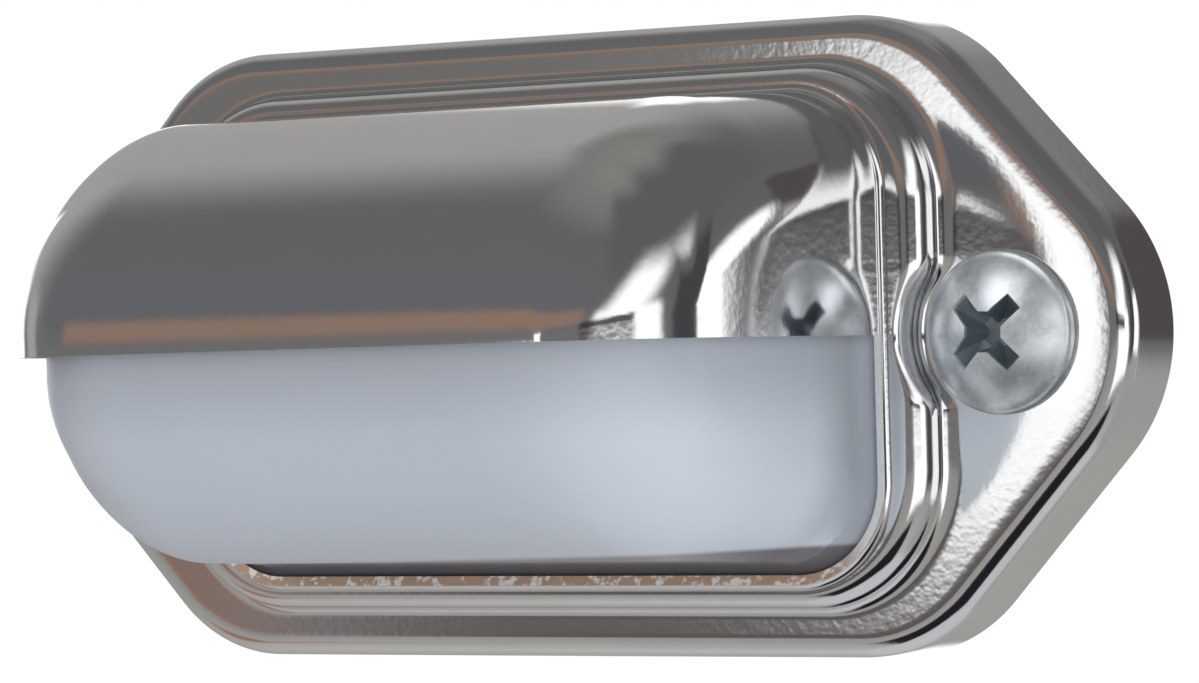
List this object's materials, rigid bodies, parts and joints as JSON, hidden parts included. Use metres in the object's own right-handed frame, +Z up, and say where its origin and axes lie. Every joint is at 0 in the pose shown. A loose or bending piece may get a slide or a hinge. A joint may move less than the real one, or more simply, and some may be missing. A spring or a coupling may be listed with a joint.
{
  "type": "number plate lamp",
  "caption": "Surface-mounted number plate lamp: a chromed cover with a hood over a milky lens, and a cross-recess screw at each end of its six-sided flange.",
  "frame": {"origin": "centre of the back face, in the plane that lies on the panel, midway between the two screws", "axes": "+X along the lamp's length, +Z up as fitted, +Y into the panel; the lamp stands out towards -Y"},
  "size_m": [0.0794, 0.0422, 0.038],
  "materials": {
    "chrome": "bright chrome plate on pressed steel",
    "milky_lens": "milky white moulding, glossy",
    "zinc": "zinc plate, satin with fine specks",
    "base_plastic": "moulded, fine matt grain",
    "foam_rubber": "closed-cell foam, matt",
    "seal_rubber": "moulded rubber, matt",
    "grommet_rubber": "moulded rubber, satin",
    "retainer_plastic": "punched sheet, satin",
    "bulb_glass": "clear blown glass",
    "tungsten": "dull grey wire",
    "bulb_cap": "nickel plate",
    "spring_brass": "rolled spring strip",
    "tinned_brass": "tinned sheet",
    "rivet_copper": "tubular rivet, satin"
  },
  "bodies": {
    "root": {"cover": "chrome", "lens": "milky_lens", "lens_seal": "seal_rubber", "base_plate": "base_plastic", "base_gasket": "foam_rubber", "wire_grommet": "grommet_rubber", "screw_left": "zinc", "screw_right": "zinc", "screw_retainer_left": "retainer_plastic", "screw_retainer_right": "retainer_plastic", "bulb_glass": "bulb_glass", "bulb_filament": "tungsten", "bulb_cap_left": "bulb_cap", "bulb_cap_right": "bulb_cap", "contact_left": "spring_brass", "contact_right": "spring_brass", "terminal_live": "tinned_brass", "terminal_earth": "tinned_brass", "rivet_left": "rivet_copper", "rivet_right": "rivet_copper"}
  },
  "joints": []
}
